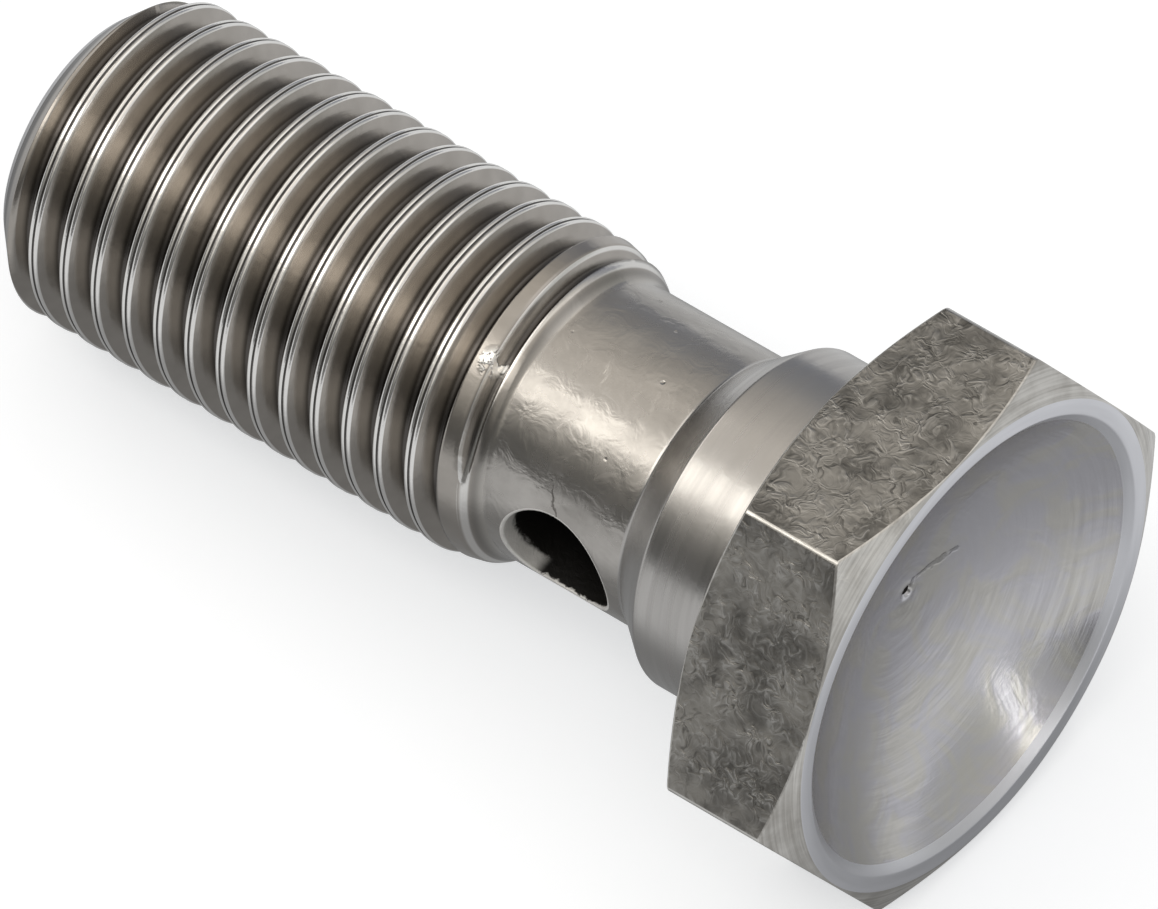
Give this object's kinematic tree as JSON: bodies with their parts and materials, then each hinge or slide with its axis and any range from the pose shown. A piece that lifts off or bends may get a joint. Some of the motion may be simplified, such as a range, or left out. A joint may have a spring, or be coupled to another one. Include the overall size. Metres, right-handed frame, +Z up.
{
  "type": "banjo bolt",
  "caption": "Hollow bolt for a banjo hose end, with a dished hexagon head, a centring collar, a cross-drilled shank and a fine thread.",
  "frame": {"origin": "on the floor below the middle of the bolt's length, as it lies at rest on a hexagon flat and its thread", "axes": "+X from the thread's tip towards the head along the floor, +Z up; the bolt's own axis dips 5.76 degrees towards the tip"},
  "size_m": [0.0304, 0.0164, 0.0146],
  "materials": {
    "steel": "stainless steel: rolled thread polished, shank and collar turned bright, head faces satin, hexagon flats left dull from the drawn bar"
  },
  "bodies": {
    "root": {"bolt": "steel"}
  },
  "joints": []
}
